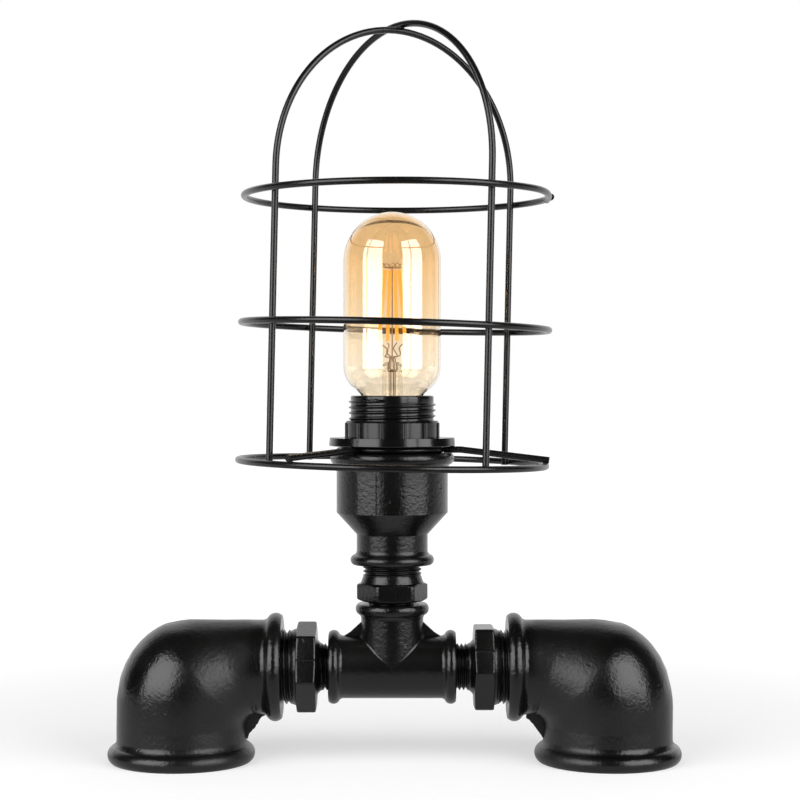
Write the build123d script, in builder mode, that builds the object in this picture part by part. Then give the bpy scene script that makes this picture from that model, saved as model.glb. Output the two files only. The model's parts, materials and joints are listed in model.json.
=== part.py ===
"""Industrial pipe table lamp: two reducing elbows stand on their large mouths, hex nipples join them
to a tee, and a riser carries a reducing socket, a screw lamp holder, a wire cage and a filament bulb.

Millimetres. +Z is up and the riser stands on the Z axis. The elbows lie along X, and -Y is the front.
Screw threads are plain cylinders at their crests, with thread_gap of play in the mating bores.
"""
import math
import os

from build123d import *

os.makedirs("parts", exist_ok=True)

# ---- clearances -------------------------------------------------------------------------------------
thread_gap = 0.05  # radial play of a made-up pipe or brass thread
running_gap = 0.08  # radial play of a thread that is turned by hand
seat_gap = 0.05  # between a moving piece and the face that it rests on
weld_gap = 0.02  # between wires that are spot welded where they touch

# ---- pipe threads, crest radii of the parallel series -------------------------------------------------
half_inch = 20.955 / 2
three_quarter_inch = 26.441 / 2
one_inch = 33.249 / 2
inch_and_quarter = 41.910 / 2
inch_and_half = 47.803 / 2
mouth_chamfer = 0.5

# ---- reducing elbows, 1 1/2 by 1 ----------------------------------------------------------------------
run_height = 42.0  # of the horizontal run above the table
elbow_reach = 45.3  # from the foot's axis to the small mouth
foot_radius = 29.0
foot_bead_radius = 33.0
foot_bead_width = 8.0
arm_radius = 21.1
arm_bead_radius = 24.2
arm_bead_width = 7.2
crown_inset = 2.0  # how far the flat crown stops short of the foot's axis
heel_height = 25.5  # where the back of the foot turns upright
crotch_radius = 5.0  # inside corner of the bend
elbow_wall = 4.0
bend_sections = 9
corner_web = 3.0  # thickness of the casting web in the inside corner
corner_web_up, corner_web_out = 11.0, 8.0  # its reach along the foot and along the arm
web_root = 1.0  # how deep a casting web is sunk into its walls

# ---- cable hole at the back of one foot ---------------------------------------------------------------
cable_side = 1  # 1 for the right elbow, -1 for the left
cable_hole_height = 20.0
cable_hole_radius = 5.5
cable_bore_radius = 3.5  # of the lip that grips the cable
cable_sleeve_radius = 4.2  # of the wider bore behind it
cable_lip = 1.5
grommet_flange_radius = 8.0
grommet_flange = 2.6
grommet_lip_radius = 6.8
grommet_lip = 1.4
spot_face_depth = 1.0
grommet_fit = 0.1
grommet_taper_angle = 15  # of its flange and lip

# ---- side nipples, 1 by 1/2 ---------------------------------------------------------------------------
side_hex_across = 36.0
side_hex_width = 9.0
side_bore_radius = 8.0
side_thread_engaged = 13.0
left_small_shown, left_large_shown = 5.4, 6.6
right_small_shown, right_large_shown = 8.1, 6.1
left_hex_angle, right_hex_angle = 8.0, 21.5  # of the top corner towards the back

# ---- tee, 1/2 -----------------------------------------------------------------------------------------
tee_half_length = 28.5
tee_radius = 14.0
tee_bead_radius = 16.5
tee_bead_width = 5.4
tee_fillet = 1.3  # along the mitres where the branch meets the run
tee_web = 2.4  # thickness of the casting webs in its two inside corners
tee_web_up, tee_web_out = 6.2, 7.6
tee_web_knee_up, tee_web_knee_out = 1.7, 4.9
tee_hollow_play = 0.4  # the passage is this much wider than the thread
tee_thread_depth = 15.0

# ---- riser nipple, 3/4 by 1/2 -------------------------------------------------------------------------
riser_gap = 1.3  # thread shown between the tee and the hexagon
riser_hex_across = 28.3
riser_hex_width = 8.3
riser_shoulder = 3.2
riser_thread_shown = 4.9
riser_thread_engaged = 13.0
riser_bore_radius = 7.0
riser_hex_angle = 5.8

# ---- reducing socket, 1 1/4 by 3/4 --------------------------------------------------------------------
reducer_length = 50.1
reducer_neck_radius = 16.0
reducer_neck_length = 13.5
reducer_cone_length = 9.9
reducer_body_radius = 25.05
reducer_low_bead_radius = 18.8
reducer_low_bead_width = 5.0
reducer_top_bead_radius = 27.9
reducer_top_bead_width = 5.9
reducer_seat_height = 22.8  # of the inner shoulder above the low mouth
reducer_passage_radius = 12.0
reducer_thread_depth = 15.0
grip_rib_width = 8.6
grip_rib_height = 0.7
grip_rib_length = 18.0
grip_rib_angle = 244.0

# ---- cable tube that clamps the lamp holder in the reducing socket --------------------------------------
seat_washer_radius = 20.0
seat_washer_thickness = 1.5
tube_radius = 5.0
tube_bore_radius = 4.0
tube_engaged = 6.0
tube_nut_across = 14.0
tube_nut_height = 3.5
tube_tail = 1.5

# ---- lamp holder --------------------------------------------------------------------------------------
holder_thread_radius = 19.6
holder_collar_radius = 18.7
holder_collar_height = 3.0
holder_rise = 28.0  # of the holder's mouth above the terminal insert
holder_mouth_radius = 15.2
holder_wall = 2.3
holder_lip = 2.0
holder_base_radius = 19.0
holder_base_height = 15.5
holder_floor = 3.0
holder_boss_radius = 8.0
holder_spigot_height = 3.0
holder_spigot_wall = 1.5
holder_edge = 0.6  # chamfer of the mouth
holder_base_edge = 1.5
insert_thickness = 5.0
insert_gap = 0.2
insert_edge = 0.6
shell_thickness = 0.5
shell_height = 22.5
shell_window_radius = 9.8  # opening in the floor of the screw shell
terminal_offset = 9.0
terminal_length, terminal_depth, terminal_height = 6.0, 7.0, 6.0
terminal_corner = 0.6
terminal_screw_radius = 1.5
terminal_screw_length = 4.2
terminal_head_radius = 2.4
terminal_head_height = 1.6
contact_strip_width = 5.0
contact_strip_thickness = 0.4
contact_button_radius = 2.2
contact_rise = 1.0  # of the bulb's own contact above the insert
rivet_radius = 1.0
rivet_inset = 2.0  # of each rivet from the middle of its terminal

# ---- shade ring ---------------------------------------------------------------------------------------
ring_flange_radius = 28.4
ring_flange_height = 3.7
ring_grip_radius = 21.1
ring_rib_radius = 21.6
ring_rib_width = 1.2
ring_rib_depth = 1.0
ring_ribs = 12
ring_height = 11.3
ring_step = 0.9  # plain rim above the ribs
ring_edge = 0.3

# ---- wire cage ----------------------------------------------------------------------------------------
wire_radius = 1.5
cage_ring_radius = 69.0  # centre line
cage_lean_angle = 1.25  # to the right
low_ring_drop = 4.4  # of the low ring below the reducing socket's rim
middle_ring_rise = 61.2
top_ring_rise = 119.7
arch_spring_rise = 128.1
middle_tilt_angle = 0.35
top_tilt_angle = -1.25
top_gap_angle = 3.0  # between the unjoined ends
loose_end_angle = 30.0  # over which one of them springs away
loose_end_inset = 2.2
loose_end_drop = 1.8
arch_angle = 53.0  # of the legs' cross, from +X towards the front
hub_ring_radius = 22.0
hub_flat = 31.0  # radius where the spokes start to fall
spoke_angles = (8.5, 128.5, 248.5)
spoke_overrun = 1.6
spoke_bend = 12.0

# ---- bulb ---------------------------------------------------------------------------------------------
bulb_radius = 21.95
bulb_length = 86.4  # of the glass above the cap's rim
bulb_shoulder_rise = 16.8  # of its full width above the neck
bulb_shoulder_radius = 13.0
bulb_neck_radius = 12.7
bulb_neck_length = 8.0
glass_wall = 0.8
cap_radius = 13.1
cap_length = 19.4
cap_edge = 1.0
cap_rim_gap = 0.2  # between the cap's rim and the glass that flares above it
cap_wall = 0.35
cap_insulator_height = 2.9
cap_insulator_radius = 10.5
insulator_edge = 0.4
tip_radius = 4.5
tip_height = 0.7
tip_edge = 1.0
tip_pin_radius = 1.2
tip_pin_length = 4.5
stem_radius = 4.7
stem_rise = 18.8  # of the stem's closed end above the neck
stem_wall = 0.7
stem_seal = 3.0  # thickness of the closed end
stem_nose = 1.5  # chamfer of the closed end
stem_flare_radius = 11.4
stem_flare_height = 11.0
stem_lip = 0.5  # of the flare above the foot of the glass
filament_radius = 0.8
filament_top_rise, filament_low_rise = 60.2, 28.4  # above the neck
filament_top_spread, filament_low_spread = 3.3, 6.3
filament_count = 4
filament_angle = 20.0
lead_radius = 0.3
lead_spacing = 3.0
lead_straight = 5.0
support_overrun = 0.6  # of the support wires past the filaments' ends
support_tail = 1.0
driver_length, driver_thickness = 9.0, 1.2
driver_gap = 0.5  # between the board's edges and the cap
driver_rise = 1.5
driver_margin = 1.0  # of the board above and below its parts
driver_part = 4.0  # across the chip on one side and the capacitor on the other

# ---- places that follow from the sizes above ----------------------------------------------------------
foot_straight = run_height - arm_radius - crotch_radius
arm_straight = elbow_reach - foot_radius - crotch_radius
left_foot = tee_half_length + left_small_shown + side_hex_width + left_large_shown + elbow_reach
right_foot = tee_half_length + right_small_shown + side_hex_width + right_large_shown + elbow_reach
cable_foot = right_foot if cable_side > 0 else -left_foot
cable_plane = Plane((cable_foot, foot_radius, cable_hole_height), x_dir=(-1, 0, 0), z_dir=(0, 1, 0))
tee_mouth = run_height + tee_half_length
riser_hex_base = tee_mouth + riser_gap
reducer_base = riser_hex_base + riser_hex_width + riser_shoulder + riser_thread_shown
reducer_top = reducer_base + reducer_length
reducer_seat = reducer_base + reducer_seat_height
holder_seat = reducer_seat + seat_washer_thickness
skirt_base = holder_seat + holder_base_height
insert_base = skirt_base + holder_spigot_height
insert_top = insert_base + insert_thickness
holder_top = insert_top + holder_rise
hub_height = reducer_top + wire_radius + seat_gap
ring_base = hub_height + wire_radius + seat_gap
low_ring_height = reducer_top - low_ring_drop
tip_base = insert_top + contact_rise
cap_base = tip_base + tip_height + cap_insulator_height
cap_top = cap_base + cap_length
neck_height = cap_top + cap_rim_gap
neck_foot = neck_height - bulb_neck_length
bulb_shoulder_height = neck_height + bulb_shoulder_rise
bulb_top = neck_height + bulb_length
stem_foot = neck_foot + stem_lip
stem_top = neck_height + stem_rise
filament_top = neck_height + filament_top_rise
filament_low = neck_height + filament_low_rise
leg_radius = cage_ring_radius - 2 * wire_radius - weld_gap
shell_bore_radius = cap_radius + running_gap


def wall_profile(plane, radius, bead_radius, bead_width, length):
    """Half section of a cast leg, with its mouth on the plane's x axis and its axis on y. A rolled
    bead stands round the mouth, and a cove leads from the bead to the wall."""
    rise = bead_radius - radius
    cove = 0.3 * rise
    with BuildSketch(plane) as half:
        with BuildLine():
            face = Line((0, 0), (bead_radius - 0.4 * rise, 0))
            bead = ThreePointArc(
                face @ 1, (bead_radius, 0.46 * bead_width), (radius + cove, bead_width - 0.2 * rise)
            )
            blend = ThreePointArc(
                bead @ 1, (radius + 0.3 * cove, bead_width + 0.1 * rise), (radius, bead_width + 0.6 * rise)
            )
            Polyline(blend @ 1, (radius, length), (0, length), (0, 0))
        make_face()
    return half.sketch


def round_leg(plane, radius, bead_radius, bead_width, length):
    """Adds the solid of a cast leg, to be bored later."""
    axis = Axis(plane.origin, plane.y_dir)
    revolve(wall_profile(plane, radius, bead_radius, bead_width, length), axis=axis)


def mouth_bore(plane, radius, depth):
    """Cuts a threaded socket, with a chamfer at its mouth. The plane is that of the cast leg."""
    with BuildSketch(plane) as half:
        with BuildLine():
            Polyline(
                (0, 0), (radius + mouth_chamfer, 0), (radius, mouth_chamfer), (radius, depth), (0, depth),
                close=True,
            )
        make_face()
    revolve(half.sketch, axis=Axis(plane.origin, plane.y_dir), mode=Mode.SUBTRACT)


def bend_reach(angle):
    """Distance from the bend's pivot to the outside of the elbow, at an angle up from the foot. The
    outside is an upright back, a quarter ellipse and a level crown."""
    across, up = math.cos(math.radians(angle)), math.sin(math.radians(angle))
    half_width, half_height = foot_radius + crown_inset, run_height + arm_radius - heel_height
    from_x = crown_inset - foot_radius - crotch_radius  # the pivot, from the middle of the ellipse
    from_z = run_height - arm_radius - crotch_radius - heel_height
    if (half_height - from_z) * across < -from_x * up:  # the ray leaves through the crown
        return (half_height - from_z) / up
    if -from_z * across > (half_width - from_x) * up:  # and here through the back
        return (half_width - from_x) / across
    a = (across / half_width) ** 2 + (up / half_height) ** 2
    b = 2 * (from_x * across / half_width**2 + from_z * up / half_height**2)
    c = (from_x / half_width) ** 2 + (from_z / half_height) ** 2 - 1
    return (-b + math.sqrt(b * b - 4 * a * c)) / (2 * a)


def bend(side, foot_x, wall, mode=Mode.ADD):
    """Sweeps the curved middle of an elbow through round sections that turn about the inside corner.
    wall is taken off each section, for the hollow."""
    pivot = Vector(side * (foot_x - foot_radius - crotch_radius), 0, foot_straight)
    middles, sections = [], []
    for index in range(bend_sections):
        angle = 90 * index / (bend_sections - 1)
        across, up = math.cos(math.radians(angle)), math.sin(math.radians(angle))
        reach = bend_reach(angle)
        middles.append(pivot + Vector(side * across, 0, up) * ((reach + crotch_radius) / 2))
        along = Vector(-side * up, 0, across)
        with BuildSketch(Plane(middles[-1], x_dir=Vector(0, 1, 0), z_dir=along)) as section:
            Circle((reach - crotch_radius) / 2 - wall)
        sections.append(section.sketch)
    route = Spline(*middles, tangents=((0, 0, 1), (-side, 0, 0)), mode=Mode.PRIVATE)
    sweep(sections, path=route, multisection=True, mode=mode)


def inside_web(corner, thickness, out, up, knee=()):
    """A thin casting web in an inside corner. The corner's plane has its x axis along one wall and its
    y axis away from the other; knee holds any points of the web's edge between the two walls."""
    with BuildSketch(corner) as web:
        with BuildLine():
            Polyline(
                (out, 0), *knee, (0, up), (-web_root, up), (-web_root, -web_root), (out, -web_root),
                close=True,
            )
        make_face()
    extrude(web.sketch, amount=thickness / 2, both=True)


def axis_plane(height, turn=0):
    """A plane across the riser, turned about it."""
    return Plane((0, 0, height), x_dir=Vector(1, 0, 0).rotate(Axis.Z, turn), z_dir=(0, 0, 1))


def turned(points, axis_at=(0, 0, 0), mode=Mode.ADD):
    """Revolves a closed outline of (radius, height) points about an upright axis."""
    with BuildSketch(Plane(axis_at, x_dir=(1, 0, 0), z_dir=(0, -1, 0))) as half:
        with BuildLine():
            Polyline(*points, close=True)
        make_face()
    revolve(half.sketch, axis=Axis(axis_at, (0, 0, 1)), mode=mode)


def hexagon(plane, across, width, turn):
    """A hexagon bar with its corners chamfered as turned bar stock is. turn is that of one corner
    from the plane's x axis."""
    corner = across / math.sqrt(3)
    drop = 0.35 * (corner - across / 2)
    with BuildSketch(plane) as bar:
        RegularPolygon(across / 2, 6, major_radius=False, rotation=turn)
    extrude(bar.sketch, amount=width)
    ring = Plane(plane.origin, x_dir=plane.x_dir, z_dir=-plane.y_dir)
    with BuildSketch(ring) as envelope:
        with BuildLine():
            Polyline(
                (0, 0),
                (across / 2, 0),
                (corner, drop + (corner - across / 2) * 0.2),
                (corner, width - drop - (corner - across / 2) * 0.2),
                (across / 2, width),
                (0, width),
                close=True,
            )
        make_face()
    revolve(envelope.sketch, axis=Axis(plane.origin, plane.z_dir), mode=Mode.INTERSECT)


def rod(start, end, radius, mode=Mode.ADD):
    """A round bar between two points."""
    start, end = Vector(start), Vector(end)
    with BuildSketch(Plane(start, z_dir=end - start)) as section:
        Circle(radius)
    extrude(section.sketch, amount=(end - start).length, mode=mode)


def finish(builder, name):
    """Labels a finished piece and writes it."""
    builder.part.label = name
    export_step(builder.part, f"parts/{name}.step")


# ---- elbows -------------------------------------------------------------------------------------------
for name, side, foot_x in (("left", -1, left_foot), ("right", 1, right_foot)):
    foot_plane = Plane((side * foot_x, 0, 0), x_dir=(1, 0, 0), z_dir=(0, -1, 0))
    arm_plane = Plane(
        (side * (foot_x - elbow_reach), 0, run_height), x_dir=(0, 0, 1), z_dir=(0, side, 0)
    )
    with BuildPart() as elbow:
        round_leg(foot_plane, foot_radius, foot_bead_radius, foot_bead_width, foot_straight)
        round_leg(arm_plane, arm_radius, arm_bead_radius, arm_bead_width, arm_straight)
        bend(side, foot_x, 0)
        corner_at = (side * (foot_x - foot_radius), 0, run_height - arm_radius)
        corner = Plane(corner_at, x_dir=(-side, 0, 0), z_dir=(0, -side, 0))
        inside_web(corner, corner_web, corner_web_out, corner_web_up)
        bend(side, foot_x, elbow_wall, mode=Mode.SUBTRACT)
        mouth_bore(foot_plane, inch_and_half + thread_gap, foot_straight)
        mouth_bore(arm_plane, one_inch + thread_gap, arm_straight)
        if side == cable_side:
            with BuildSketch(cable_plane.offset(-spot_face_depth)):
                Circle(grommet_flange_radius + grommet_fit)
            extrude(amount=foot_radius, mode=Mode.SUBTRACT)
            with BuildSketch(cable_plane):
                Circle(cable_hole_radius)
            extrude(amount=-foot_radius / 2, mode=Mode.SUBTRACT)
    finish(elbow, f"elbow_{name}")

# ---- rubber grommet in the cable hole -----------------------------------------------------------------
grommet_groove = foot_radius - spot_face_depth  # the flange lies on the spot face
grommet_inner = math.sqrt((inch_and_half + thread_gap) ** 2 - grommet_lip_radius**2) - grommet_fit
with BuildPart() as cable_grommet:
    with BuildSketch(cable_plane.offset(-spot_face_depth)):
        Circle(grommet_flange_radius)
    extrude(amount=grommet_flange, taper=grommet_taper_angle)
    with BuildSketch(cable_plane.offset(-spot_face_depth)):
        Circle(cable_hole_radius - grommet_fit)
    extrude(amount=grommet_inner - grommet_groove)
    with BuildSketch(cable_plane.offset(grommet_inner - foot_radius)):
        Circle(grommet_lip_radius)
    extrude(amount=-grommet_lip, taper=grommet_taper_angle)
    with BuildSketch(cable_plane.offset(grommet_flange)):
        Circle(cable_bore_radius)
    extrude(amount=-foot_radius / 2, mode=Mode.SUBTRACT)
    with BuildSketch(cable_plane.offset(grommet_flange - spot_face_depth - cable_lip)):
        Circle(cable_sleeve_radius)
    extrude(amount=-foot_radius / 2, mode=Mode.SUBTRACT)
finish(cable_grommet, "cable_grommet")

# ---- side nipples -------------------------------------------------------------------------------------
for name, side, small_shown, large_shown, hex_angle in (
    ("left", -1, left_small_shown, left_large_shown, left_hex_angle),
    ("right", 1, right_small_shown, right_large_shown, -right_hex_angle),
):
    mouth = Plane((side * tee_half_length, 0, run_height), x_dir=(0, 0, 1), z_dir=(side, 0, 0))
    with BuildPart() as nipple:
        hexagon(mouth.offset(small_shown), side_hex_across, side_hex_width, hex_angle)
        with BuildSketch(mouth.offset(-side_thread_engaged)):
            Circle(half_inch)
        extrude(amount=side_thread_engaged + small_shown)
        with BuildSketch(mouth.offset(small_shown + side_hex_width)):
            Circle(one_inch)
        extrude(amount=large_shown + side_thread_engaged)
        chamfer(nipple.faces().sort_by(Axis.X)[0].edges(), mouth_chamfer)
        chamfer(nipple.faces().sort_by(Axis.X)[-1].edges(), mouth_chamfer)
        with BuildSketch(mouth.offset(-side_thread_engaged)):
            Circle(side_bore_radius)
        extrude(
            amount=2 * side_thread_engaged + small_shown + side_hex_width + large_shown,
            mode=Mode.SUBTRACT,
        )
    finish(nipple, f"nipple_{name}")

# ---- tee ----------------------------------------------------------------------------------------------
with BuildPart() as tee:
    for side in (-1, 1):
        run_mouth = Plane((side * tee_half_length, 0, run_height), x_dir=(0, 0, 1), z_dir=(0, -side, 0))
        round_leg(run_mouth, tee_radius, tee_bead_radius, tee_bead_width, tee_half_length)
    top_mouth = Plane((0, 0, tee_mouth), x_dir=(1, 0, 0), z_dir=(0, 1, 0))
    round_leg(top_mouth, tee_radius, tee_bead_radius, tee_bead_width, tee_half_length)
    fillet(tee.edges().filter_by(GeomType.ELLIPSE), tee_fillet)
    for side in (-1, 1):
        corner_at = (side * tee_radius, 0, run_height + tee_radius)
        corner = Plane(corner_at, x_dir=(side, 0, 0), z_dir=(0, -side, 0))
        inside_web(corner, tee_web, tee_web_out, tee_web_up, knee=[(tee_web_knee_out, tee_web_knee_up)])
    for side in (-1, 1):
        run_mouth = Plane((side * tee_half_length, 0, run_height), x_dir=(0, 0, 1), z_dir=(0, -side, 0))
        mouth_bore(run_mouth, half_inch + thread_gap, tee_thread_depth)
    mouth_bore(top_mouth, half_inch + thread_gap, tee_thread_depth)
    with BuildSketch(Plane.YZ.offset(-tee_half_length + tee_thread_depth)):
        with Locations((0, run_height)):
            Circle(half_inch + tee_hollow_play)
    extrude(amount=2 * (tee_half_length - tee_thread_depth), mode=Mode.SUBTRACT)
    with BuildSketch(Plane.XY.offset(run_height)):
        Circle(half_inch + tee_hollow_play)
    extrude(amount=tee_half_length - tee_thread_depth, mode=Mode.SUBTRACT)
finish(tee, "tee")

# ---- riser nipple -------------------------------------------------------------------------------------
with BuildPart() as riser_nipple:
    hexagon(axis_plane(riser_hex_base, riser_hex_angle), riser_hex_across, riser_hex_width, 0)
    shoulder_base = riser_hex_base + riser_hex_width
    thread_top = reducer_base + riser_thread_engaged
    turned(
        (
            (0, tee_mouth - riser_thread_engaged),
            (half_inch - mouth_chamfer, tee_mouth - riser_thread_engaged),
            (half_inch, tee_mouth - riser_thread_engaged + mouth_chamfer),
            (half_inch, riser_hex_base),
            (riser_hex_across / 2, riser_hex_base),
            (riser_hex_across / 2, shoulder_base),
            (three_quarter_inch, shoulder_base + riser_shoulder),
            (three_quarter_inch, thread_top - mouth_chamfer),
            (three_quarter_inch - mouth_chamfer, thread_top),
            (0, thread_top),
        )
    )
    with BuildSketch(axis_plane(tee_mouth - riser_thread_engaged)):
        Circle(riser_bore_radius)
    extrude(amount=reducer_length, mode=Mode.SUBTRACT)
finish(riser_nipple, "riser_nipple")

# ---- reducing socket ----------------------------------------------------------------------------------
cone_base = reducer_base + reducer_neck_length
body_base = cone_base + reducer_cone_length
low_mouth = Plane((0, 0, reducer_base), x_dir=(1, 0, 0), z_dir=(0, -1, 0))
high_mouth = Plane((0, 0, reducer_top), x_dir=(1, 0, 0), z_dir=(0, 1, 0))
with BuildPart() as reducer:
    round_leg(low_mouth, reducer_neck_radius, reducer_low_bead_radius, reducer_low_bead_width,
              reducer_neck_length)
    round_leg(high_mouth, reducer_body_radius, reducer_top_bead_radius, reducer_top_bead_width,
              reducer_top - body_base)
    turned(
        (
            (0, cone_base),
            (reducer_neck_radius, cone_base),
            (reducer_body_radius, body_base),
            (0, body_base),
        )
    )
    for opposite in (0, 180):
        start = grip_rib_angle + opposite - math.degrees(grip_rib_width / reducer_body_radius / 2)
        turn = Vector(1, 0, 0).rotate(Axis.Z, start)
        with BuildSketch(Plane((0, 0, body_base), x_dir=turn, z_dir=Vector(0, -1, 0).rotate(Axis.Z, start))):
            with Locations((reducer_body_radius, 0)):
                Rectangle(2 * grip_rib_height, grip_rib_length, align=(Align.CENTER, Align.MIN))
        revolve(axis=Axis.Z, revolution_arc=math.degrees(grip_rib_width / reducer_body_radius))
    mouth_bore(low_mouth, three_quarter_inch + thread_gap, reducer_thread_depth)
    mouth_bore(high_mouth, inch_and_quarter + thread_gap, reducer_top - reducer_seat)
    with BuildSketch(axis_plane(reducer_base)):
        Circle(reducer_passage_radius)
    extrude(amount=reducer_length, mode=Mode.SUBTRACT)
finish(reducer, "reducer")

# ---- seat washer, cable tube and its nut --------------------------------------------------------------
nut_base = reducer_seat - tube_nut_height
with BuildPart() as seat_washer:
    with BuildSketch(axis_plane(reducer_seat)):
        Circle(seat_washer_radius)
        Circle(tube_radius + thread_gap, mode=Mode.SUBTRACT)
    extrude(amount=seat_washer_thickness)
finish(seat_washer, "seat_washer")

with BuildPart() as tube_nut:
    hexagon(axis_plane(nut_base), tube_nut_across, tube_nut_height, 0)
    with BuildSketch(axis_plane(nut_base)):
        Circle(tube_radius + thread_gap)
    extrude(amount=tube_nut_height, mode=Mode.SUBTRACT)
finish(tube_nut, "tube_nut")

with BuildPart() as cable_tube:
    with BuildSketch(axis_plane(nut_base - tube_tail)):
        Circle(tube_radius)
        Circle(tube_bore_radius, mode=Mode.SUBTRACT)
    extrude(amount=tube_tail + tube_nut_height + seat_washer_thickness + tube_engaged)
finish(cable_tube, "cable_tube")

# ---- lamp holder: base cup, terminal insert, screw shell, contact, terminals and outer skirt ------------
cup_bore = holder_base_radius - holder_wall
skirt_bore = holder_thread_radius - holder_wall
spigot_radius = skirt_bore - running_gap
spigot_bore = spigot_radius - holder_spigot_wall
insert_radius = skirt_bore - insert_gap
with BuildPart() as holder_base:
    turned(
        (
            (0, holder_seat),
            (holder_base_radius - holder_base_edge, holder_seat),
            (holder_base_radius, holder_seat + holder_base_edge),
            (holder_base_radius, skirt_base),
            (spigot_radius, skirt_base),
            (spigot_radius, insert_base),
            (spigot_bore, insert_base),
            (spigot_bore, skirt_base),
            (cup_bore, skirt_base - (cup_bore - spigot_bore)),
            (cup_bore, holder_seat + holder_floor),
            (holder_boss_radius, holder_seat + holder_floor),
            (holder_boss_radius, holder_seat + tube_engaged),
            (0, holder_seat + tube_engaged),
        )
    )
    with BuildSketch(axis_plane(holder_seat)):
        Circle(tube_radius + thread_gap)
    extrude(amount=tube_engaged, mode=Mode.SUBTRACT)
finish(holder_base, "holder_base")

contact_rivet = rivet_inset - terminal_offset
shell_rivet = terminal_offset + rivet_inset
with BuildPart() as terminal_insert:
    with BuildSketch(axis_plane(insert_base)):
        Circle(insert_radius)
        with Locations((contact_rivet, 0), (shell_rivet, 0)):
            Circle(rivet_radius + thread_gap, mode=Mode.SUBTRACT)
    extrude(amount=insert_thickness)
    chamfer(terminal_insert.faces().sort_by(Axis.Z)[-1].outer_wire().edges(), insert_edge)
finish(terminal_insert, "terminal_insert")

with BuildPart() as screw_shell:
    turned(
        (
            (shell_window_radius, insert_top),
            (shell_bore_radius + shell_thickness, insert_top),
            (shell_bore_radius + shell_thickness, insert_top + shell_height),
            (shell_bore_radius, insert_top + shell_height),
            (shell_bore_radius, insert_top + shell_thickness),
            (shell_window_radius, insert_top + shell_thickness),
        )
    )
    rod((shell_rivet, 0, insert_base), (shell_rivet, 0, insert_top + shell_thickness), rivet_radius)
finish(screw_shell, "screw_shell")

with BuildPart() as centre_contact:
    with BuildSketch(axis_plane(insert_top)):
        with Locations((contact_rivet / 2, 0)):
            SlotOverall(-contact_rivet + contact_strip_width, contact_strip_width)
    extrude(amount=contact_strip_thickness)
    with BuildSketch(axis_plane(insert_top)):
        Circle(contact_button_radius)
    extrude(amount=tip_base - insert_top - seat_gap)
    rod((contact_rivet, 0, insert_base), (contact_rivet, 0, insert_top), rivet_radius)
finish(centre_contact, "centre_contact")

screw_height = insert_base - terminal_height / 2
screw_face = Plane((0, -terminal_depth / 2, screw_height), x_dir=(1, 0, 0), z_dir=(0, 1, 0))
terminal_centres = ((-terminal_offset, 0), (terminal_offset, 0))
with BuildPart() as terminals:
    with BuildSketch(axis_plane(insert_base)):
        with Locations(*terminal_centres):
            RectangleRounded(terminal_length, terminal_depth, terminal_corner)
    extrude(amount=-terminal_height)
    with BuildSketch(screw_face):
        with Locations(*terminal_centres):
            Circle(terminal_screw_radius + thread_gap)
    extrude(amount=terminal_screw_length + mouth_chamfer, mode=Mode.SUBTRACT)
finish(terminals, "terminals")

with BuildPart() as terminal_screws:
    with BuildSketch(screw_face):
        with Locations(*terminal_centres):
            Circle(terminal_screw_radius)
    extrude(amount=terminal_screw_length)
    with BuildSketch(screw_face):
        with Locations(*terminal_centres):
            Circle(terminal_head_radius)
    extrude(amount=-terminal_head_height)
finish(terminal_screws, "terminal_screws")

skirt_shoulder = holder_top - holder_collar_height
with BuildPart() as holder_skirt:
    turned(
        (
            (skirt_bore, skirt_base),
            (holder_thread_radius, skirt_base),
            (holder_thread_radius, skirt_shoulder),
            (holder_collar_radius, skirt_shoulder),
            (holder_collar_radius, holder_top - holder_edge),
            (holder_collar_radius - holder_edge, holder_top),
            (holder_mouth_radius + holder_edge, holder_top),
            (holder_mouth_radius, holder_top - holder_edge),
            (holder_mouth_radius, holder_top - holder_lip),
            (skirt_bore, holder_top - holder_lip - (skirt_bore - holder_mouth_radius) / 2),
        )
    )
finish(holder_skirt, "holder_skirt")

# ---- shade ring ---------------------------------------------------------------------------------------
ring_bore = holder_thread_radius + running_gap
ring_top = ring_base + ring_height
with BuildPart() as shade_ring:
    turned(
        (
            (ring_bore + mouth_chamfer, ring_base),
            (ring_flange_radius - ring_edge, ring_base),
            (ring_flange_radius, ring_base + ring_edge),
            (ring_flange_radius - ring_edge, ring_base + ring_flange_height),
            (ring_grip_radius, ring_base + ring_flange_height + ring_edge),
            (ring_grip_radius, ring_top - ring_step),
            (ring_grip_radius - mouth_chamfer, ring_top),
            (ring_bore + mouth_chamfer, ring_top),
            (ring_bore, ring_top - mouth_chamfer),
            (ring_bore, ring_base + mouth_chamfer),
        )
    )
    with BuildSketch(axis_plane(ring_base + ring_flange_height)):
        with PolarLocations(ring_rib_radius, ring_ribs, start_angle=180 / ring_ribs):
            Rectangle(ring_rib_depth, ring_rib_width, align=(Align.MAX, Align.CENTER))
    extrude(amount=ring_height - ring_flange_height - ring_step)
finish(shade_ring, "shade_ring")

# ---- wire cage ----------------------------------------------------------------------------------------
# The cage stands on the low ring's plane, which leans; local z runs up its own axis.
cage = Plane((0, 0, low_ring_height), x_dir=Vector(1, 0, 0).rotate(Axis.Y, cage_lean_angle),
             z_dir=Vector(0, 0, 1).rotate(Axis.Y, cage_lean_angle))


def ring_plane(rise, tilt):
    """A plane across the cage, tilted a little from the cage's own lean."""
    middle = cage.from_local_coords(Vector(0, 0, rise))
    return Plane(middle, x_dir=Vector(1, 0, 0).rotate(Axis.Y, cage_lean_angle + tilt),
                 z_dir=Vector(0, 0, 1).rotate(Axis.Y, cage_lean_angle + tilt))


with BuildPart(ring_plane(0, 0)) as cage_bottom_ring:
    Torus(cage_ring_radius, wire_radius)
finish(cage_bottom_ring, "cage_bottom_ring")

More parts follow.
